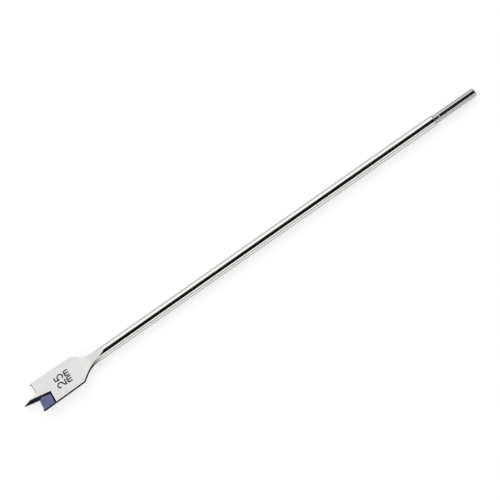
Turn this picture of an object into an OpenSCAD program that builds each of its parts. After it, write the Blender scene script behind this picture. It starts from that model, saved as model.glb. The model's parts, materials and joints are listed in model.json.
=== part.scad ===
// Long spade drill bit for wood, one piece of steel.
// Sizes are in millimetres. The axis runs along X, from the point at -X to the shank at +X.
// It lies as it comes to rest: on the round shaft and on one long edge of the blade.

/* [Bit] */
// Length from the point to the end of the shank
overall_len = 400; // [200:5:600]
// Width of the hole that the bit cuts
blade_w = 25; // [20:0.5:38]

/* [Blade] */
// Thickness of the flat blade
blade_t = 2.3; // [1.8:0.1:2.8]
// Length of the blade's long edge, from the cutting edge to the shoulder corner
blade_len = 35.2; // [28:0.2:44]
// How much each long edge draws in towards the shoulder
edge_taper = 0.7; // [0:0.1:1.2]
// Angle of the sloping shoulder to the axis
shoulder_angle = 38; // [30:1:50]
// Radius of the hollow curve from the shoulder into the shaft
neck_radius = 17; // [8:0.5:22]
// Slope of the flats that run out on the round shaft
runout_angle = 10; // [7:0.5:14]
// Distance from the shoulder corner to the foot of that slope
runout_start = 8.2; // [6:0.2:12]

/* [Point and cutting edges] */
// Length of the point ahead of the cutting edges
point_len = 12.5; // [10:0.5:15]
// Width of the point where it meets the cutting edges
point_w = 5.6; // [5:0.2:6.6]
// Clearance ground behind every cutting edge
relief_angle = 28; // [10:1:30]
// How far the cutting edges lean forward towards the outside
lip_slant = 2; // [0:0.5:5]
// Height of the outer spurs ahead of the cutting edges
spur_h = 1.2; // [0.6:0.1:2]
// Width of an outer spur at its foot
spur_w = 1.7; // [1:0.1:2.4]
// Clearance ground behind the tip of an outer spur
spur_relief = 42; // [32:1:46]

/* [Hollow behind each cutting edge] */
// Length of the hollow along the axis
groove_len = 10.6; // [8:0.2:14]
// Depth of the hollow at the cutting edge
groove_depth = 0.66; // [0.4:0.02:0.8]
// Slope of its floor, deeper away from the cutting edge
rake_angle = 1; // [0:0.25:2]
// Length of the sloping wall that closes it
back_wall_run = 1.5; // [0.8:0.1:2.5]
// Skew of its inner wall to the axis
wall_skew = 11.3; // [8:0.1:13]
// Distance behind the cutting edge at which the ridge of that wall crosses the axis
ridge_back = 0.6; // [0:0.1:1.5]
// Distance behind the cutting edge to which the point's bevel is ground
notch_run = 2.8; // [1:0.1:3.4]
// Width of the notch between the point and the cutting edge
notch_w = 0.9; // [0.4:0.1:1.2]

/* [Shaft and shank] */
// Diameter of the round shaft
shaft_d = 8; // [7.5:0.1:10]
// Diameter of the turned-down shank
shank_d = 6.35; // [5.6:0.05:7]
// Length of the shank
shank_len = 35.8; // [25:0.2:45]
// Length of the shank left round at its root
shank_root = 3.7; // [2:0.1:6]
// Width across a pair of the six flats
shank_af = 5.95; // [5.3:0.05:6]
// Turn from the blade's face to the nearest flat
flat_turn = 25; // [0:1:59]
// Chamfer at the end of the shank
end_chamfer = 0.9; // [0.3:0.1:1.5]

/* [Hidden] */
$fn = 96;
// The blade and its stations from the point
blade_r = blade_w / 2;
shaft_r = shaft_d / 2;
half_t = blade_t / 2;
lip_x = point_len;
corner_x = lip_x + blade_len;
corner_r = blade_r - edge_taper;
groove_x = lip_x + groove_len;
// The hollow neck: an arc touching the sloping shoulder and the shaft
neck_x = corner_x + (corner_r - shaft_r) / tan(shoulder_angle);
neck_t = neck_radius * tan(shoulder_angle / 2);
neck_steps = 12;
// The slope of the flats and the curve at its foot
foot_x = corner_x + runout_start;
foot_radius = 40;
foot_t = foot_radius * tan(runout_angle / 2);
foot_steps = 5;
slab_h = shaft_r + 1;
slab_x = foot_x + (slab_h - half_t) / tan(runout_angle);
// The shank
shank_x = overall_len - shank_len;
shank_r = shank_d / 2;
flats_x = shank_x + shank_root;
// The cutting edges, the point's bevel and the hollow
lip_z = half_t - groove_depth;
point_r = point_w / 2;
tip_back = 0.4;
tip_x = -tip_back - lip_z * tan(relief_angle);
ridge_x = lip_x + ridge_back;
wall_angle = atan(half_t / ((ridge_x + tip_back) * sin(wall_skew)));
back_angle = atan((groove_depth + (groove_len - back_wall_run) * tan(rake_angle)) / back_wall_run);
big = 60;
// A small turn of the round form, so that its seam is clear of the surface it lies on
seam_turn = 180 / 42;
// The roll at which the blade's lower edge touches the surface the shaft lies on
rest_r = blade_r - edge_taper * (groove_x - lip_x + spur_h) / (blade_len + spur_h);
rest_roll = asin(shaft_r / rest_r) - asin(half_t / rest_r);

// Half the turned outline as [radius, station] points
function neck_arc() = [
    for (i = [0 : neck_steps])
        let (a = shoulder_angle * (1 - i / neck_steps))
        [shaft_r + neck_radius * (1 - cos(a)), neck_x + neck_t - neck_radius * sin(a)]
];

// The round form before it is pressed flat, with the bit's axis on X
module turned_form() {
    rotate([rest_roll + seam_turn, 0, 0])
    rotate([0, 90, 0])
    rotate_extrude()
    polygon(concat(
        [[0, 0], [blade_r, 0], [blade_r, lip_x - spur_h], [corner_r, corner_x]],
        neck_arc(),
        [
            [shaft_r, shank_x - (shaft_r - shank_r)],
            [shank_r, shank_x],
            [shank_r, overall_len - end_chamfer],
            [shank_r - end_chamfer, overall_len],
            [0, overall_len]
        ]
    ));
}

// The upper side of the pressed form as [station, height] points
function runout() = concat(
    [
        for (i = [0 : foot_steps])
            let (a = runout_angle * i / foot_steps)
            [foot_x - foot_t + foot_radius * sin(a), half_t + foot_radius * (1 - cos(a))]
    ],
    [[slab_x, slab_h], [overall_len + 1, slab_h]]
);

// The gap between the dies that flatten the blade
module die_gap() {
    upper = concat([[-1, half_t]], runout());
    lower = [for (i = [len(upper) - 1 : -1 : 0]) [upper[i][0], -upper[i][1]]];
    rotate([90, 0, 0])
    translate([0, 0, -big / 2])
    linear_extrude(big)
    polygon(concat(upper, lower));
}

// A station ahead of or behind the cutting edge, squeezed to suit the tilted cutters
function tilted(x) = (x - lip_x) * cos(relief_angle);

// Places a flat shape as a prism leaning back below the cutting edge
module leaning_prism() {
    translate([lip_x, 0, lip_z])
    rotate([0, -relief_angle, 0])
    translate([0, 0, -8])
    linear_extrude(16)
    children();
}

// The room between the point and an outer spur
module lip_gap() {
    lip_in = -point_r - notch_w;
    lip_out = -blade_r + spur_w;
    lean = (lip_in - lip_out) * tan(lip_slant);
    side_x = -4;
    side_y = point_r * (tip_x - side_x) / (lip_x - tip_x);
    leaning_prism()
    polygon([
        [tilted(side_x), side_y],
        [tilted(lip_x), -point_r],
        [tilted(lip_x), lip_in],
        [tilted(lip_x - lean), lip_out],
        [tilted(lip_x - spur_h), -blade_r],
        [tilted(lip_x - spur_h), -blade_r - 4],
        [tilted(side_x), -blade_r - 4]
    ]);
}

// The steeper clearance behind an outer spur, which leaves the far side of the blade square
module spur_clearance() {
    translate([lip_x - spur_h, -blade_r, lip_z])
    rotate([0, -spur_relief, 0])
    translate([-8, -1, -8])
    cube([8, spur_w + 1, 8]);
}

// Everything above the plane of the hollow's inner wall, which runs through the tip
module above_wall() {
    translate([ridge_x, 0, half_t])
    rotate([0, 0, -wall_skew])
    rotate([wall_angle, 0, 0])
    translate([-big / 2, -big, 0])
    cube(big);
}

// The bevel on one side of the point, ended by the notch beside the cutting edge
module point_bevel() {
    intersection() {
        above_wall();
        translate([0, 0, -half_t - 1])
        linear_extrude(blade_t + 2)
        polygon([
            [-4, 4],
            [lip_x + notch_run, 4],
            [lip_x + notch_run, -point_r / 2],
            [lip_x, -point_r - notch_w],
            [-4, -point_r - notch_w]
        ]);
    }
}

// The hollow behind one cutting edge, open to the front and to the outside
module chip_hollow() {
    intersection() {
        above_wall();
        translate([lip_x, 0, lip_z])
        rotate([0, rake_angle, 0])
        translate([-big / 2, -big / 2, 0])
        cube(big);
        translate([groove_x, 0, half_t])
        rotate([0, -back_angle, 0])
        translate([-big, -big / 2, 0])
        cube(big);
    }
}

// Six flats, each ended by a short slope at the round root of the shank
module shank_flats() {
    depth = shank_r - shank_af / 2;
    for (i = [0 : 5])
        rotate([flat_turn + 60 * i, 0, 0])
        rotate([90, 0, 0])
        translate([0, 0, -big / 2])
        linear_extrude(big)
        polygon([
            [flats_x - 4 * depth, shank_r + depth],
            [flats_x + 2 * depth, shank_af / 2],
            [overall_len + 1, shank_af / 2],
            [overall_len + 1, shank_r + depth]
        ]);
}

// The whole bit
module spade_bit() {
    color([0.78, 0.78, 0.77])
    translate([-overall_len / 2, 0, shaft_r])
    rotate([-rest_roll, 0, 0])
    difference() {
        intersection() {
            turned_form();
            die_gap();
        }
        for (side = [0, 180])
            rotate([side, 0, 0]) {
                lip_gap();
                spur_clearance();
                point_bevel();
                chip_hollow();
            }
        shank_flats();
    }
}

spade_bit();
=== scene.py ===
# %% [markdown]
# # A long spade bit for wood
# A spade bit is one steel bar, forged flat and ground at one end and turned down at the other.
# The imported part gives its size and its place. This lesson gives it finer surfaces and its finishes.

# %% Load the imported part
import json
import math

import bmesh
import bpy
import numpy as np
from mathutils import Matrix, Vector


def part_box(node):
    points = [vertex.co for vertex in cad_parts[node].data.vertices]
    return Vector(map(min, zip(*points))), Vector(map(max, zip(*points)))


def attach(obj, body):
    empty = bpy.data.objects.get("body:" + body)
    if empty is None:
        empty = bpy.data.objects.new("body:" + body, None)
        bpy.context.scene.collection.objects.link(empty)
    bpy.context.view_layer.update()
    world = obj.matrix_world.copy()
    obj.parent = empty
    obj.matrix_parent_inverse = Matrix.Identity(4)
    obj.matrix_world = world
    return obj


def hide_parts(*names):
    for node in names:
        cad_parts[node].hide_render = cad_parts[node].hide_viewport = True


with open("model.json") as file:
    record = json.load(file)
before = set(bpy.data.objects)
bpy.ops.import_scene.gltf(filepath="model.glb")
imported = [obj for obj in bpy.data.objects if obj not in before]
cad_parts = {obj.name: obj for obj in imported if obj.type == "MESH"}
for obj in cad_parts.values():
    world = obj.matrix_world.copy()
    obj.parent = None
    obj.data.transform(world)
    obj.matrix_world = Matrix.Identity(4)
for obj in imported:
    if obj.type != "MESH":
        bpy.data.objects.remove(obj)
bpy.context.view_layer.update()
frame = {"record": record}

# %% [markdown]
# ## Sizes
# All sizes are in millimetres in the bit's own frame: x runs from the tip along the axis, y goes across
# the blade and z goes up from its middle. The length and the shaft's radius are read from the part.
# The rest are the sizes that a maker would write on the drawing of such a bit.

# %% Sizes of the bit
MM = 0.001
low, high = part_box("spade_bit")
mounts = {mount["name"]: mount for mount in frame["record"]["mounts"]}
LENGTH = (high.x - low.x) / MM
SHAFT_R = mounts["shaft"]["dims"]["r_mm"]
BLADE_R = 12.5
HALF_T = 1.15
LIP_X = 12.5
CORNER_X = LIP_X + 35.2
CORNER_R = BLADE_R - 0.7
SHOULDER = math.radians(38)
NECK_R = 17
RUNOUT = math.radians(10)
FOOT_X = CORNER_X + 8.2
FOOT_R = 40
JOIN_X = 76
print(f"bit {LENGTH:.1f} long, shaft {2 * SHAFT_R:.1f} thick, blade {2 * BLADE_R:.1f} wide")

# %% Sizes of the cutting end
RELIEF = math.tan(math.radians(28))
LIP_Z = HALF_T - 0.66
POINT_R = 2.8
TIP_BACK = 0.4
TIP_X = -TIP_BACK - LIP_Z * RELIEF
NOTCH_END = POINT_R + 0.9
NOTCH_RUN = 2.8
SPUR_H = 1.2
SPUR_IN = BLADE_R - 1.7
SPUR_X = LIP_X - SPUR_H
SPUR_RELIEF = math.tan(math.radians(42))
LEAN = (SPUR_IN - NOTCH_END) * math.tan(math.radians(2))
RAKE = math.tan(math.radians(1))
HOLLOW_X = LIP_X + 10.6
FOOT_RUN = 1.5
BACK_FOOT = HOLLOW_X - FOOT_RUN
BACK = (HALF_T - LIP_Z + (BACK_FOOT - LIP_X) * RAKE) / FOOT_RUN
SKEW = math.radians(11.3)
RIDGE_X = LIP_X + 0.6
WALL = HALF_T / ((RIDGE_X + TIP_BACK) * math.sin(SKEW))
WALL_X = WALL * math.sin(SKEW)
WALL_Y = WALL * math.cos(SKEW)
slopes = [round(math.degrees(math.atan(part)), 1) for part in (WALL, BACK)]
print("inner wall and back wall slope at", slopes, "degrees")

# %% [markdown]
# ## From the bit's frame to the table
# The real bit lies on its shaft and on one long edge of the blade, so the blade is rolled a little about
# the axis. The roll could be a rotation of the object. It is worked into the points instead, so that
# the piece's object stays at the origin.

# %% Lay the bit on the table
touch_r = BLADE_R - (BLADE_R - CORNER_R) * (HOLLOW_X - SPUR_X) / (CORNER_X - SPUR_X)
ROLL = math.asin(SHAFT_R / touch_r) - math.asin(HALF_T / touch_r)


def on_table(points):
    """Turns points about the axis by the roll, moves the middle of the axis to the shaft's height
    above the origin, and goes from millimetres to metres."""
    x, y, z = np.moveaxis(np.asarray(points, float), -1, 0)
    across = y * math.cos(ROLL) + z * math.sin(ROLL)
    up = z * math.cos(ROLL) - y * math.sin(ROLL)
    return np.stack([x - LENGTH / 2, across, up + SHAFT_R], axis=-1) * MM


print(f"blade rolled by {math.degrees(ROLL):.2f} degrees")

# %% [markdown]
# ## Profiles
# A forged blade starts as a round bar, so every cross-section is a circle with its top and bottom
# pressed flat. Two curves say it all: the radius of the circle and the half height of the flats,
# both along the axis. Lines and circle arcs are written as formulas, so that they can be sampled
# as finely as a curve needs.

# %% Radius and half height along the axis
NECK_END = CORNER_X + (CORNER_R - SHAFT_R) / math.tan(SHOULDER) + NECK_R * math.tan(SHOULDER / 2)
NECK_START = NECK_END - NECK_R * math.sin(SHOULDER)
FOOT_START = FOOT_X - FOOT_R * math.tan(RUNOUT / 2)
FOOT_END = FOOT_START + FOOT_R * math.sin(RUNOUT)


def round_radius(x):
    """Radius at station x: the long edge drawn in a little, a straight sloping shoulder, a hollow
    circle arc that ends level with the shaft, then the shaft."""
    edge = np.interp(x, [SPUR_X, CORNER_X], [BLADE_R, CORNER_R])
    shoulder = CORNER_R - (x - CORNER_X) * math.tan(SHOULDER)
    ahead = np.clip(NECK_END - x, 0, NECK_END - NECK_START)
    neck = SHAFT_R + NECK_R - np.sqrt(NECK_R**2 - ahead**2)
    return np.where(x <= CORNER_X, edge, np.where(x < NECK_START, shoulder, neck))


def flat_height(x):
    """Half height of the pressed flats at station x: level on the blade, then a circle arc that rises
    into a straight slope."""
    along = np.clip(x - FOOT_START, 0, FOOT_END - FOOT_START)
    arc = HALF_T + FOOT_R - np.sqrt(FOOT_R**2 - along**2)
    return arc + np.clip(x - FOOT_END, 0, None) * math.tan(RUNOUT)


FLATS_END = FOOT_END + (SHAFT_R - flat_height(FOOT_END)) / math.tan(RUNOUT)
print(f"neck arc {NECK_START:.2f} to {NECK_END:.2f}, flats run out at {FLATS_END:.2f}")

# %% [markdown]
# ## The ground faces
# The grinder leaves only plane faces: the floor of the hollow, its back wall, and one plane that is both
# its inner wall and the bevel of the point. Each is a height over x and y. Ahead of them the cutting edges
# have a clearance, so the front leans back below each edge, and more steeply behind the tip of a spur.

# %% Heights of the ground faces
def wall_z(x, y):
    """Plane through the tip and through the ridge that runs skew from the point into the blade."""
    return HALF_T + WALL_X * (x - RIDGE_X) + WALL_Y * y


def floor_z(x):
    """Plane through the cutting edge, a little lower with every step away from it."""
    return LIP_Z - RAKE * (x - LIP_X)


def back_z(x):
    """Plane that rises from the floor's foot to the blade's face."""
    return HALF_T - BACK * (HOLLOW_X - x)


def ridge_y(x):
    """Where the inner wall meets the blade's face."""
    return -WALL_X / WALL_Y * (x - RIDGE_X)


def floor_y(x):
    """Where the floor meets the inner wall."""
    return (floor_z(x) - wall_z(x, 0)) / WALL_Y


def back_y(x):
    """Where the back wall meets the inner wall."""
    return (back_z(x) - wall_z(x, 0)) / WALL_Y


def edge_x(away):
    """Station of the cutting edge at a distance from the axis: the point's straight side, the notch,
    the slanting edge and the spur."""
    return np.interp(
        away,
        [0, POINT_R, NOTCH_END, SPUR_IN, BLADE_R],
        [TIP_X, LIP_X, LIP_X, LIP_X - LEAN, SPUR_X],
    )


# %% The notch between the point and a cutting edge
slope = (NOTCH_END - POINT_R / 2) / NOTCH_RUN


def notch_y(x):
    """The notch's wall in plan, a straight line from the cutting edge towards the axis."""
    return -NOTCH_END + slope * (x - LIP_X)


# the wall starts where it stands on the floor's edge and ends where it meets the leaning front
NOTCH_FAR = LIP_X + (NOTCH_END + floor_y(LIP_X)) / (slope - (floor_y(LIP_X + 1) - floor_y(LIP_X)))
rise = WALL_X + WALL_Y * slope
NOTCH_NEAR = LIP_X + RELIEF * (LIP_Z - wall_z(LIP_X, -NOTCH_END)) / (1 + RELIEF * rise)
NOTCH_NEAR_Y = -notch_y(NOTCH_NEAR)
print(f"notch wall from {NOTCH_NEAR:.2f} to {NOTCH_FAR:.2f} along the axis")


# %% The front edge above and below
def right_top(away):
    """Upper edge of the leaning front on the right half: on the bevel, then up the notch's wall,
    then along the floor."""
    bevel = wall_z(edge_x(away) + LIP_Z * RELIEF, -away) / (1 + WALL_X * RELIEF)
    low_z = wall_z(NOTCH_NEAR, -NOTCH_NEAR_Y)
    step = np.interp(away, [NOTCH_NEAR_Y, NOTCH_END], [low_z, LIP_Z])
    floor = LIP_Z - RAKE * (edge_x(away) - LIP_X) / (1 - RAKE * RELIEF)
    return np.where(away <= NOTCH_NEAR_Y, bevel, np.where(away < NOTCH_END, step, floor))


def left_top(away):
    """Upper edge of the leaning front on the left half: on the bevel up to the blade's face."""
    bevel = wall_z(edge_x(away) + LIP_Z * RELIEF, away) / (1 - WALL_X * RELIEF)
    return np.minimum(HALF_T, bevel)


side_run = (LIP_X - TIP_X) / POINT_R
start_z = wall_z(TIP_X + LIP_Z * RELIEF, 0)
FACE_AWAY = (HALF_T * (1 - WALL_X * RELIEF) - start_z) / (WALL_X * side_run + WALL_Y)
print(f"the point's flat top starts {FACE_AWAY:.2f} from the axis")

# %% [markdown]
# ## Sheets
# The blade could be one height map, but then every crease would run zigzag through its squares.
# Here each plane face is a sheet of its own, ruled between two edges that the neighbours share, so the
# creases stay straight. The lower side is the upper side turned half round the axis, as on the real
# bit, and the doubled points along the shared edges are merged at the end.

# %% Helpers for sheets
SIDE_STEPS = 28


def stations(knots, counts):
    """Evenly spaced values between each pair of knots, with every knot once."""
    runs = [np.linspace(a, b, n, endpoint=False) for a, b, n in zip(knots, knots[1:], counts)]
    return np.concatenate(runs + [knots[-1:]])


def points(x, y, z):
    """Puts three arrays, stretched to one shape, together as points."""
    return np.stack(np.broadcast_arrays(x, y, z), axis=-1).astype(float)


def half_turn(sheet):
    """The same sheet after half a turn about the axis."""
    return sheet * np.array([1.0, -1.0, -1.0])


def rounded(x, y, z):
    """Keeps a point's y inside the round form at its station and height."""
    reach = np.sqrt(round_radius(x) ** 2 - z**2)
    return points(x, np.clip(y, -reach, reach), z)


# %% The leaning front and the point's edges
# width of the floor's outermost strip, where the lacquer is darkened as painted shade
RIM = 0.75
AWAY = stations(
    [0, FACE_AWAY, POINT_R, NOTCH_NEAR_Y, NOTCH_END, SPUR_IN, BLADE_R - RIM, BLADE_R], [5, 5, 1, 1, 4, 1, 1]
)
IN_FACE = AWAY >= POINT_R - 1e-9
OUTSIDE = AWAY > NOTCH_END + 1e-9

top_z = right_top(AWAY)
bottom_z = -left_top(AWAY)
turn = np.arcsin(np.array([top_z[-1], bottom_z[-1]]) / BLADE_R)
share = np.sin(turn[0] + (turn[1] - turn[0]) * np.linspace(0, 1, SIDE_STEPS + 1)) * BLADE_R
share = (share - top_z[-1]) / (bottom_z[-1] - top_z[-1])
front_z = top_z + share[:, None] * (bottom_z - top_z)
front_x = np.maximum(edge_x(AWAY) + (LIP_Z - front_z) * RELIEF, 0)
spur_x = SPUR_X + (LIP_Z - front_z) * SPUR_RELIEF
front_x = np.where(AWAY > SPUR_IN + 1e-9, np.maximum(front_x, spur_x), front_x)
front = rounded(front_x, -AWAY + 0 * front_z, front_z)
right_edge = front[0]
left_edge = half_turn(front[-1])
print("front sheet", front.shape)

# %% The bevel and the inner wall
on_bevel = AWAY <= NOTCH_NEAR_Y + 1e-9
notch_x = np.linspace(NOTCH_NEAR, NOTCH_FAR, 6)[1:]
floor_x = np.linspace(NOTCH_FAR, BACK_FOOT, 7)[1:]
back_x = np.linspace(BACK_FOOT, HOLLOW_X, 4)[1:]
wall_foot = np.concatenate([
    right_edge[on_bevel],
    points(notch_x, notch_y(notch_x), wall_z(notch_x, notch_y(notch_x))),
    points(floor_x, floor_y(floor_x), floor_z(floor_x)),
    points(back_x, back_y(back_x), back_z(back_x)),
])
before_face = AWAY <= FACE_AWAY + 1e-9
face_start = left_edge[IN_FACE][0, 0]
ridge_x = np.concatenate([
    left_edge[on_bevel & ~before_face, 0],
    np.linspace(face_start, NOTCH_FAR + 0.2, 6)[1:],
    np.linspace(NOTCH_FAR + 0.2, BACK_FOOT, 7)[1:],
    back_x,
])
ridge_x[:6] = np.minimum(ridge_x[:6], face_start)
ridge = points(ridge_x, ridge_y(ridge_x), HALF_T)
wall_head = np.concatenate([left_edge[before_face], ridge])
wall = np.stack([wall_foot, wall_head])
print("bevel and inner wall", wall.shape)

# %% The notch's wall, the floor and the back wall
head_x = np.linspace(LIP_X, NOTCH_FAR, 6)
head_y = np.linspace(-NOTCH_END, notch_y(NOTCH_FAR), 6)
notch_head = points(head_x, head_y, floor_z(head_x))
notch_foot = wall_foot[on_bevel.sum() - 1:][:6]
notch = np.stack([notch_head, notch_foot])

floor_inner = np.concatenate([notch_head, points(floor_x, floor_y(floor_x), floor_z(floor_x))])
along = (floor_inner[:, 0] - LIP_X) / (BACK_FOOT - LIP_X)
floor_rows = right_edge[OUTSIDE, 0] + along[:, None] * (BACK_FOOT - right_edge[OUTSIDE, 0])
floor_outer = rounded(floor_rows, -AWAY[OUTSIDE] + 0 * floor_rows, floor_z(floor_rows))
floor = np.concatenate([floor_inner[:, None], floor_outer], axis=1)

back_rows = np.concatenate([[BACK_FOOT], back_x])
back_inner = points(back_rows, back_y(back_rows), back_z(back_rows))
back_outer = rounded(back_rows[:, None], -AWAY[OUTSIDE] + 0 * back_rows[:, None], back_z(back_rows)[:, None])
back = np.concatenate([back_inner[:, None], back_outer], axis=1)
print("floor", floor.shape, "back wall", back.shape)

# %% The face beside the hollow
point_top = np.stack([
    np.concatenate([left_edge[before_face][-1:], ridge[:5]]),
    left_edge[(AWAY >= FACE_AWAY - 1e-9) & (AWAY <= POINT_R + 1e-9)],
])
face_ridge = ridge[5:]
along = (face_ridge[:, 0] - face_start) / (HOLLOW_X - face_start)
face_rows = left_edge[IN_FACE, 0] + along[:, None] * (HOLLOW_X - left_edge[IN_FACE, 0])
face_outer = rounded(face_rows, AWAY[IN_FACE] + 0 * face_rows, HALF_T + 0 * face_rows)
face = np.concatenate([face_ridge[:, None], face_outer], axis=1)

side_top = np.concatenate([floor[:, -1], back[1:, -1]])
side_bottom = half_turn(face[:, -1])
print("face", face.shape, "side", side_top.shape, side_bottom.shape)


# %% The long edge beside the hollow
def side_sheet(top, bottom):
    """Carries an edge from the top to the bottom round the circle of its station, by equal angles."""
    share = np.linspace(0, 1, SIDE_STEPS + 1)[:, None]
    x = top[:, 0] + share * (bottom[:, 0] - top[:, 0])
    radius = round_radius(x)
    start = np.arcsin(top[:, 2] / round_radius(top[:, 0]))
    end = np.arcsin(bottom[:, 2] / round_radius(bottom[:, 0]))
    angle = start + share * (end - start)
    return points(x, -radius * np.cos(angle), radius * np.sin(angle))


side = side_sheet(side_top, side_bottom)
side[:, 0] = front[:, -1]
print("side", side.shape)

# %% [markdown]
# ## Blade, shoulder and neck
# Behind the hollow the section is a closed ring at every station: the flat top, a round side, the flat
# bottom and the other side. On the shaft the flats have shrunk to nothing, so a narrow strip of the
# circle stands for them there, and the same columns run from the blade to the shaft.

# %% Rings from the hollow to the shaft
STRIP = math.sin(math.radians(6))


def rings(x, spread):
    """Closed sections at the stations x: the top at equal shares of its width, and arcs for the sides."""
    x = x[:, None]
    radius = round_radius(x)
    width = np.sqrt(np.clip(radius**2 - flat_height(x) ** 2, 0, None))
    width = np.maximum(width, STRIP * radius)
    y = width * spread
    z = np.minimum(flat_height(x), np.sqrt(radius**2 - y**2))
    top = points(x, y, z)
    angle = np.arcsin(z[:, -1:] / radius) * np.linspace(1, -1, SIDE_STEPS + 1)
    left = points(x, radius * np.cos(angle), radius * np.sin(angle))
    return np.concatenate([top, left[:, 1:-1], half_turn(top), half_turn(left[:, 1:-1]), top[:, :1]], axis=1)


end_y = np.concatenate([back[-1, ::-1, 1], face[-1, 1:, 1]])
spread = end_y / end_y[-1]
ring_x = stations(
    [HOLLOW_X, CORNER_X, FOOT_START, NECK_END, FLATS_END, JOIN_X], [6, 4, 36, 24, 4]
)
neck = rings(ring_x, spread)
blade_cap = np.stack([neck[-1], neck[-1] * [1, 0, 0]])
print("rings", neck.shape)


# %% [markdown]
# ## From sheets to a mesh
# The sheets go into one mesh as quads. Points that fall together are merged, which also closes the
# triangles at the tip, and then all faces are turned outwards. Edges sharper than a small angle stay crisp.

# %% Make a piece from sheets
def make_piece(name, sheets, finishes, crisp=15):
    """One object from (sheet, finish number) pairs, with shared edges merged and faces outwards."""
    corners, faces, numbers = [], [], []
    count = 0
    for sheet, number in sheets:
        rows, columns = sheet.shape[:2]
        index = count + np.arange(rows * columns).reshape(rows, columns)
        quads = np.stack([index[:-1, :-1], index[:-1, 1:], index[1:, 1:], index[1:, :-1]], axis=-1)
        corners.append(on_table(sheet).reshape(-1, 3))
        faces.append(quads.reshape(-1, 4))
        numbers.append(np.full(len(faces[-1]), number))
        count += rows * columns
    mesh = bpy.data.meshes.new(name)
    mesh.from_pydata(np.concatenate(corners).tolist(), [], np.concatenate(faces).tolist())
    mesh.polygons.foreach_set("material_index", np.concatenate(numbers).astype(np.int32))
    work = bmesh.new()
    work.from_mesh(mesh)
    bmesh.ops.remove_doubles(work, verts=work.verts, dist=0.002 * MM)
    bmesh.ops.recalc_face_normals(work, faces=work.faces)
    gaps = sum(not edge.is_manifold for edge in work.edges)
    work.to_mesh(mesh)
    work.free()
    mesh.polygons.foreach_set("use_smooth", np.ones(len(mesh.polygons), bool))
    mesh.set_sharp_from_angle(angle=math.radians(crisp))
    piece = bpy.data.objects.new(name, mesh)
    bpy.context.scene.collection.objects.link(piece)
    for finish in finishes:
        mesh.materials.append(finish)
    print(name, len(mesh.polygons), "faces,", gaps, "open edges")
    return piece


# %% [markdown]
# ## Finishes
# Metal takes its look from what it mirrors, so the finishes say little about colour and a lot about how
# rough the metal is and how its grain runs. Patterns read Object coordinates, because the bit's place is
# in its mesh. Maths on values is written as plain expressions through a small wrapper.

# %% A wrapper for shader maths
class Wire:
    """One output of a node tree. Plain operators on it add Math nodes."""

    def __init__(self, sheet, socket):
        self.sheet = sheet
        self.socket = socket

    def maths(self, operation, first, second):
        return self.sheet.node("ShaderNodeMath", {"operation": operation}, {0: first, 1: second})

    def __add__(self, other):
        return self.maths("ADD", self, other)

    def __sub__(self, other):
        return self.maths("SUBTRACT", self, other)

    def __rsub__(self, other):
        return self.maths("SUBTRACT", other, self)

    def __mul__(self, other):
        return self.maths("MULTIPLY", self, other)

    def __truediv__(self, other):
        return self.maths("DIVIDE", self, other)

    def above(self, start, end):
        """A soft step from 0 at start to 1 at end."""
        limits = {"Value": self, "From Min": start, "From Max": end}
        return self.sheet.node("ShaderNodeMapRange", {"interpolation_type": "SMOOTHSTEP"}, limits)

    __radd__ = __add__
    __rmul__ = __mul__


class Sheet:
    """A node tree to write on."""

    def __init__(self, owner):
        owner.use_nodes = True
        self.owner = owner
        self.tree = owner.node_tree

    def feed(self, socket, value):
        """Links a wire to a socket, or sets the socket to a plain value."""
        if isinstance(value, Wire):
            self.tree.links.new(value.socket, socket)
        else:
            socket.default_value = value

    def node(self, kind, settings, inputs, output=0):
        """Adds a node, sets it up, then fills its sockets."""
        made = self.tree.nodes.new(kind)
        for name, value in settings.items():
            setattr(made, name, value)
        for name, value in inputs.items():
            self.feed(made.inputs[name], value)
        return Wire(self, made.outputs[output])

    def place(self, scale):
        """Object coordinates, stretched by a scale per axis."""
        where = self.node("ShaderNodeTexCoord", {}, {}, "Object")
        return self.node("ShaderNodeMapping", {}, {"Vector": where, "Scale": scale})

    def noise(self, scale, detail=2.0):
        """Soft noise on Object coordinates, around 0.5. The scale is in lumps per metre."""
        inputs = {"Vector": self.place(scale), "Scale": 1.0, "Detail": detail}
        return self.node("ShaderNodeTexNoise", {}, inputs)

    def blend(self, share, first, second):
        """A colour between two colours."""
        return self.node("ShaderNodeMix", {"data_type": "RGBA"}, {0: share, 6: first, 7: second}, 2)

    def along(self):
        """Distance from the tip along the axis, in millimetres."""
        where = self.node("ShaderNodeTexCoord", {}, {}, "Object")
        return self.node("ShaderNodeSeparateXYZ", {}, {"Vector": where}, "X") / MM + LENGTH / 2

    def bump(self, height, depth):
        """A normal from a height between 0 and 1, over a depth in metres."""
        return self.node("ShaderNodeBump", {}, {"Height": height, "Distance": depth, "Strength": 1.0})

    def mix(self, share, other):
        """Mixes the surface with another shader, by a share."""
        shader, end = self.tree.nodes["Principled BSDF"], self.tree.nodes["Material Output"]
        made = self.node("ShaderNodeMixShader", {}, {0: share, 1: Wire(self, shader.outputs[0]), 2: other}, 0)
        self.feed(end.inputs["Surface"], made)

    def finish(self, **inputs):
        """Fills the shader's sockets by name, with spaces for underscores."""
        shader = self.tree.nodes["Principled BSDF"]
        for name, value in inputs.items():
            self.feed(shader.inputs[name.replace("_", " ")], value)
        return self.owner


# %% Satin steel of the blade
# stations in millimetres between which the polish of the shaft fades in; on the long edges the painted shade
# fades out between the second pair
FACE_POLISH = (50, 58)
EDGE_SHADE_FADE = (56, 70)
TURNED = (363.0, 363.6)
# steel mirrors a little less where it is seen almost edge on
EDGE_TINT = (0, 0, 0, 1)


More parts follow.
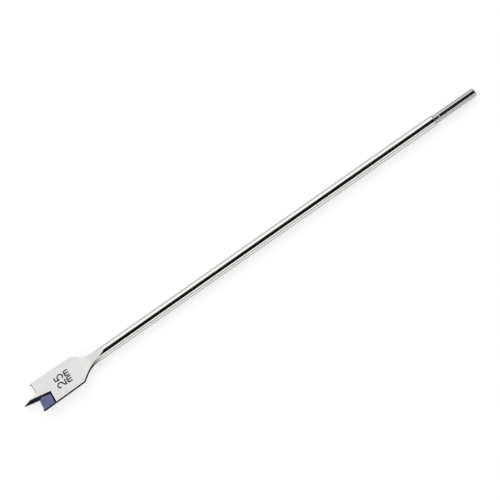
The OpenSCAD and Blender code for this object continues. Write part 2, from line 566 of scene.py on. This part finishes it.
def satin_steel():
    """Ground and blasted steel: fine grit all over, a faint grain along the bit and soft clouding.
    Where the flats run out it is smoother and a little darker."""
    sheet = Sheet(bpy.data.materials.new("satin_steel"))
    cloud = sheet.noise((60, 90, 90))
    grain = sheet.noise((150, 5000, 5000), 1.0)
    grit = sheet.noise((4200, 4200, 4200), 1.0)
    colour = sheet.blend(cloud.above(0.3, 0.7), (0.80, 0.795, 0.785, 1), (0.86, 0.855, 0.85, 1))
    polish = sheet.along().above(*FACE_POLISH)
    slope = polish * (1 - sheet.along().above(66, JOIN_X - 1))
    colour = sheet.blend(slope, colour, (0.665, 0.66, 0.65, 1))
    rough = 0.34 + 0.08 * cloud + 0.05 * grain - 0.24 * polish
    relief = sheet.bump((0.6 * grit + 0.4 * grain) * (1 - polish), 0.003 * MM)
    return sheet.finish(Base_Color=colour, Metallic=1.0, Roughness=rough, Normal=relief)


# %% Painted shade on the clearance faces
def painted_clearance_shade():
    """Steel behind the cutting edges, darkened as painted shade, with fine grinding lines across it."""
    sheet = Sheet(bpy.data.materials.new("ground_steel"))
    lines = sheet.noise((6000, 300, 6000), 1.0)
    # the dark grey colour here is painted shade on the clearance faces
    colour = sheet.blend(lines.above(0.3, 0.7), (0.22, 0.219, 0.217, 1), (0.34, 0.338, 0.334, 1))
    relief = sheet.bump(lines, 0.002 * MM)
    return sheet.finish(Base_Color=colour, Metallic=1.0, Roughness=0.3 + 0.1 * lines, Normal=relief)


# %% Painted shade on the long edges
def forged_edge():
    """Painted shade on the long edges: a dark colour standing in for their shading, which fades into polished
    steel towards the shaft.
    """
    sheet = Sheet(bpy.data.materials.new("forged_edge"))
    cloud = sheet.noise((160, 900, 900))
    # the dark skin colour is painted shade along the long edges
    skin = sheet.blend(cloud.above(0.3, 0.7), (0.03, 0.03, 0.029, 1), (0.06, 0.059, 0.058, 1))
    polish = sheet.along().above(*EDGE_SHADE_FADE)
    colour = sheet.blend(polish, skin, (0.84, 0.833, 0.82, 1))
    rough = 0.36 + 0.08 * cloud - 0.24 * polish
    return sheet.finish(Base_Color=colour, Metallic=1.0, Roughness=rough, Specular_Tint=EDGE_TINT)


# %% Blue lacquer in the hollows
def blue_lacquer(name, under):
    """A thin clear blue coat, with small runs and lighter thin places, scaled by the brightness under it,
    which on the long edges is painted shade.
    """
    sheet = Sheet(bpy.data.materials.new(name))
    cloud = sheet.noise((220, 220, 220))
    speck = sheet.noise((2600, 2600, 2600), 1.0)
    thick = tuple(under * part for part in (0.138, 0.144, 0.29)) + (1,)
    thin = tuple(under * part for part in (0.182, 0.19, 0.345)) + (1,)
    colour = sheet.blend(cloud.above(0.35, 0.7), thick, thin)
    rough = 0.17 + 0.1 * cloud
    relief = sheet.bump(speck, 0.002 * MM)
    return sheet.finish(Base_Color=colour, Metallic=0.92, Roughness=rough, Normal=relief)


# %% Bright drawn bar of the shaft
def bright_bar():
    """Polished drawn steel: fine lines along the bar, and a darker shank with turned rings."""
    sheet = Sheet(bpy.data.materials.new("bright_bar"))
    lines = sheet.noise((12, 4200, 4200), 2.0)
    cloud = sheet.noise((30, 200, 200))
    rings = sheet.noise((5200, 60, 60), 1.0)
    turned = sheet.along().above(*TURNED)
    colour = sheet.blend(lines.above(0.3, 0.75), (0.80, 0.79, 0.775, 1), (0.88, 0.875, 0.865, 1))
    colour = sheet.blend(turned, colour, (0.56, 0.555, 0.545, 1))
    rough = 0.12 + 0.06 * cloud + 0.05 * lines + 0.06 * turned
    relief = sheet.bump((1 - turned) * lines + turned * rings, 0.0004 * MM)
    return sheet.finish(
        Base_Color=colour, Metallic=1.0, Roughness=rough, Normal=relief, Specular_Tint=EDGE_TINT
    )


# %% Dark print of the size
def dark_print():
    """Matt dark grey ink, a little uneven."""
    sheet = Sheet(bpy.data.materials.new("dark_print"))
    patch = sheet.noise((900, 900, 900))
    colour = sheet.blend(patch.above(0.35, 0.7), (0.012, 0.012, 0.013, 1), (0.028, 0.028, 0.029, 1))
    return sheet.finish(Base_Color=colour, Metallic=0.0, Roughness=0.5 + 0.2 * patch)


# skin holds the painted shade of the long edges
steel, skin, bar, ink = satin_steel(), forged_edge(), bright_bar(), dark_print()
ground_steel = painted_clearance_shade()
lacquer = blue_lacquer("blue_lacquer", 0.77)
# on the long edges and the floor's outer strip the lacquer is darkened as painted shade
edge_lacquer = blue_lacquer("edge_lacquer", 0.06)
print("finishes:", [finish.name for finish in (steel, skin, ground_steel, lacquer, edge_lacquer, bar, ink)])

# %% The blade
STEEL, PAINT, EDGE_SHADE, SHADED_EDGE_PAINT, CLEARANCE_SHADE = range(5)
# the leaning front below the cutting edges carries painted shade
upper = [(front, CLEARANCE_SHADE), (point_top, STEEL), (face, STEEL)]
upper += [(sheet, PAINT) for sheet in (wall, notch, floor[:, :-1], back)]
# the floor's outer strip and the long edge beside the hollow get the lacquer with painted shade
upper += [(floor[:, -2:], SHADED_EDGE_PAINT), (side, SHADED_EDGE_PAINT)]
across = len(spread)
# the long edges of the blade and neck carry painted shade
upper += [(neck[:, :across], STEEL), (neck[:, across - 1:across + SIDE_STEPS], EDGE_SHADE)]
lower = [(half_turn(sheet), number) for sheet, number in upper]
finishes = [steel, lacquer, skin, edge_lacquer, ground_steel]
blade = make_piece("bit_blade", upper + lower + [(blade_cap, STEEL)], finishes)
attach(blade, "root")
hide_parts("spade_bit")

# %% [markdown]
# ## Shaft and shank
# The shaft is a plain bright bar. Its end is turned down and given six flats for the chuck, which start
# with a short slope. In polar form a flat is a straight line, so the radius at an angle is the smaller of
# the round form and the flat's distance divided by the cosine of the angle to the flat's middle.

# %% The shaft's grid
SHANK_R = 3.175
SHANK_X = LENGTH - 35.8
FLAT_R = 2.975
FLATS_X = SHANK_X + 3.7
FLAT_SLOPE = 1 / 3
FLAT_TURN = math.radians(25)
END_CHAMFER = 0.9
flat_half = math.acos(FLAT_R / SHANK_R)
flat_begin = FLATS_X - (SHANK_R - FLAT_R)
flat_full = flat_begin + (SHANK_R - FLAT_R) / FLAT_SLOPE
sector = stations([-flat_half, flat_half, math.pi / 3 - flat_half], [8, 4])[:-1]
angle = (FLAT_TURN + np.arange(6)[:, None] * math.pi / 3 + sector).ravel()
angle = np.append(angle, angle[0] + 2 * math.pi)
from_flat = np.tile(np.minimum(np.abs(sector), np.abs(sector - math.pi / 3)), 6)
from_flat = np.append(from_flat, from_flat[0])


def shaft_points(x):
    """Points round the shaft at the stations x, by the smaller of the round radius and the flat."""
    body = np.interp(
        x,
        [SHANK_X - (SHAFT_R - SHANK_R), SHANK_X, LENGTH - END_CHAMFER, LENGTH],
        [SHAFT_R, SHANK_R, SHANK_R, SHANK_R - END_CHAMFER],
    )
    flat = np.interp(x, [flat_begin, flat_full], [SHANK_R, FLAT_R]) + (x < flat_begin) * SHAFT_R
    radius = np.minimum(body[:, None], flat[:, None] / np.cos(from_flat))
    return points(x[:, None], -radius * np.sin(angle), radius * np.cos(angle))


shaft_x = stations(
    [JOIN_X, SHANK_X - (SHAFT_R - SHANK_R), SHANK_X, flat_begin, flat_full, LENGTH - END_CHAMFER, LENGTH],
    [12, 1, 2, 8, 4, 6],
)
shaft_skin = shaft_points(shaft_x)
caps = [np.stack([ring, ring * [1, 0, 0]]) for ring in (shaft_skin[0], shaft_skin[-1])]
shaft = make_piece("bit_shaft", [(shaft_skin, 0)] + [(cap, 0) for cap in caps], [bar])
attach(shaft, "root")
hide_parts("spade_bit")

# %% [markdown]
# ## The printed size
# The blade carries its width as a plain number and its unit, read from one long edge to the other.
# A font would work, but its letters differ from machine to machine. A few arcs and lines, each swept as
# a thin flat ribbon, give the plain rounded hand of such a stamp.

# %% Strokes of the print
STROKE = 1.05
FILM = 0.02


def arc(centre, radius, start, end):
    """Part of a circle from a start to an end angle in degrees."""
    turn = np.radians(np.linspace(start, end, 25))
    return np.stack([centre[0] + radius * np.cos(turn), centre[1] + radius * np.sin(turn)], axis=1)


def bend(*poles):
    """A smooth curve from the first to the last of four poles, pulled towards the two between them."""
    share = np.linspace(0, 1, 25)[:, None]
    first, second, third, last = np.array(poles, float)
    near = first * (1 - share) ** 3 + 3 * second * share * (1 - share) ** 2
    return near + 3 * third * share**2 * (1 - share) + last * share**3


def line(*corners):
    """A straight stroke, or one with corners."""
    return np.array(corners, float)


def ribbon(path, left, top):
    """Sweeps a flat bar along a path of glyph points. Glyph right is the bit's +y and glyph up is its -x."""
    ahead = np.gradient(path, axis=0)
    ahead /= np.linalg.norm(ahead, axis=1)[:, None]
    beside = np.stack([-ahead[:, 1], ahead[:, 0]], axis=1) * STROKE / 2
    rims = np.stack([path - beside, path - beside, path + beside, path + beside, path - beside], axis=1)
    heights = HALF_T + FILM * np.array([0, 1, 1, 0, 0])
    skin = points(top - rims[..., 1], left + rims[..., 0], heights)
    ends = [np.stack([ring, np.repeat(ring[:, :].mean(0)[None], 5, axis=0)]) for ring in (skin[0], skin[-1])]
    return [skin] + ends


# %% Draw the number and its unit
hook = arc((2.1, 4.35), 2.1, 175, -20)[:-1]
sweep = bend((4.07, 3.63), (3.5, 2.1), (0.5, 2.0), (0.15, 0.0))
two = [
    np.concatenate([hook, sweep]),
    line((-0.3, 0.0), (4.4, 0.0)),
]
five = [
    line((4.1, 6.45), (0.7, 6.45)),
    line((0.85, 6.75), (0.45, 3.2)),
    arc((2.05, 2.1), 2.1, 145, -150),
]
em = [
    line((0.0, 0.0), (0.0, 3.6)),
    np.concatenate([arc((1.06, 2.4), 1.06, 180, 0), line((2.12, 0.0))]),
    np.concatenate([arc((3.18, 2.4), 1.06, 180, 0), line((4.24, 0.0))]),
]
words = [(two, -5.1, 35.85), (five, 0.85, 35.85), (em, -4.95, 41.1), (em, 0.75, 41.1)]
strokes = [sheet for glyph, left, top in words for path in glyph for sheet in ribbon(path, left, top)]
mark = make_piece("size_mark", [(sheet, 0) for sheet in strokes], [ink])
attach(mark, "root")

# %% [markdown]
# ## Camera
# The picture looks down on the bit with a long lens, a little from the side that the hollow faces.
# The camera's matrix is put together from three directions: right, up and back towards the camera.

# %% Camera
TILT = math.radians(16.7)
SWING = math.radians(35.017)
DISTANCE = 0.97
PICTURE_W = 0.3635
back_dir = np.array([0, -math.sin(TILT), math.cos(TILT)])
across_dir = np.array([0, math.cos(TILT), math.sin(TILT)])
along_dir = np.array([1.0, 0, 0])
right_dir = math.cos(SWING) * along_dir - math.sin(SWING) * across_dir
up_dir = math.sin(SWING) * along_dir + math.cos(SWING) * across_dir
aim = np.array([0, 0, SHAFT_R * MM]) + 0.17 * MM * along_dir - 0.6 * MM * across_dir

camera_data = bpy.data.cameras.new("camera")
camera_data.sensor_width = 36
camera_data.lens = 36 * DISTANCE / PICTURE_W
camera = bpy.data.objects.new("camera", camera_data)
pose = np.eye(4)
pose[:3, 0], pose[:3, 1], pose[:3, 2] = right_dir, up_dir, back_dir
pose[:3, 3] = aim + DISTANCE * back_dir
camera.matrix_world = pose.T.tolist()
bpy.context.scene.collection.objects.link(camera)
bpy.context.scene.camera = camera
print(f"lens {camera_data.lens:.1f} mm")

# %% [markdown]
# ## Light and floor
# Polished steel shows the studio. The bit lies in a white tent, which is drawn on the world by direction.
# Its bright walls give the stripes on the shaft. A dark slot, where the camera looks in, gives the black
# line along the middle, and the dark ends darken the point's bevels and the end of the shank. Lamps and
# cards could do the same, but a drawn tent has soft borders that are easy to set.
# A wide lamp overhead, which the metal doesn't show, lights the pale floor evenly. For the camera and in
# the metal the floor is mixed with plain white, so that the shadow stays but is light.

# %% World as a white tent with a dark slot
world = bpy.data.worlds.new("studio")
bpy.context.scene.world = world
sky = Sheet(world)
toward = sky.node("ShaderNodeTexCoord", {}, {}, "Generated")
pair = {0: toward, 1: tuple(across_dir)}
sideways = sky.node("ShaderNodeVectorMath", {"operation": "DOT_PRODUCT"}, pair, "Value")
height = sky.node("ShaderNodeSeparateXYZ", {}, {"Vector": toward}, "Z")
length = sky.node("ShaderNodeSeparateXYZ", {}, {"Vector": toward}, "X")
slot = sideways.above(-0.66, -0.42) * (1 - sideways.above(0.54, 0.78))
slot = slot * length.above(-0.85, -0.6) * (1 - length.above(0.4, 0.62))
point_end = (1 - length.above(-0.62, -0.4)) * sideways.above(0.2, 0.4)
shank_end = 0.75 * length.above(0.72, 0.88)
near_wall = 1.3 * height.above(0.2, 0.34)
far_wall = 0.42 + 0.78 * height.above(0.0, 0.4)
walls = near_wall + sideways.above(-0.1, 0.1) * (far_wall - near_wall)
seen = sky.node("ShaderNodeLightPath", {}, {}, "Is Camera Ray")
level = walls * (1 - slot) * (1 - point_end) * (1 - shank_end) * (1 - seen) + seen
background = sky.tree.nodes["Background"]
sky.feed(background.inputs["Color"], (1.0, 0.995, 0.99, 1))
sky.feed(background.inputs["Strength"], level)

# %% Floor and lamp
floor_mesh = bpy.data.meshes.new("floor")
reach = 3.0
corners = [(-reach, -reach, 0), (reach, -reach, 0), (reach, reach, 0), (-reach, reach, 0)]
floor_mesh.from_pydata(corners, [], [(0, 1, 2, 3)])
ground = bpy.data.objects.new("floor", floor_mesh)
bpy.context.scene.collection.objects.link(ground)
paper = Sheet(bpy.data.materials.new("white_paper"))
fibre = paper.noise((900, 900, 900))
tone = paper.blend(fibre.above(0.3, 0.7), (0.93, 0.925, 0.92, 1), (0.95, 0.945, 0.94, 1))
path = paper.node("ShaderNodeLightPath", {}, {}, "Is Camera Ray")
path = path + paper.node("ShaderNodeLightPath", {}, {}, "Is Glossy Ray")
path = path + paper.node("ShaderNodeLightPath", {}, {}, "Is Transmission Ray")
white = paper.node("ShaderNodeEmission", {}, {"Color": (1.0, 0.997, 0.993, 1), "Strength": 1.0}, "Emission")
floor_mesh.materials.append(paper.finish(Base_Color=tone, Roughness=0.9, Specular_IOR_Level=0.0))
WHITE_SHARE = 0.6
paper.mix(WHITE_SHARE * path, white)

lamp_data = bpy.data.lights.new("overhead", "SUN")
lamp_data.angle = math.radians(100)
lamp_data.energy = 1.95
lamp = bpy.data.objects.new("overhead", lamp_data)
lamp.rotation_euler = (math.radians(-8), 0, 0)
lamp.visible_glossy = False
bpy.context.scene.collection.objects.link(lamp)

# %% Plain view transform
bpy.context.scene.view_settings.view_transform = "Standard"
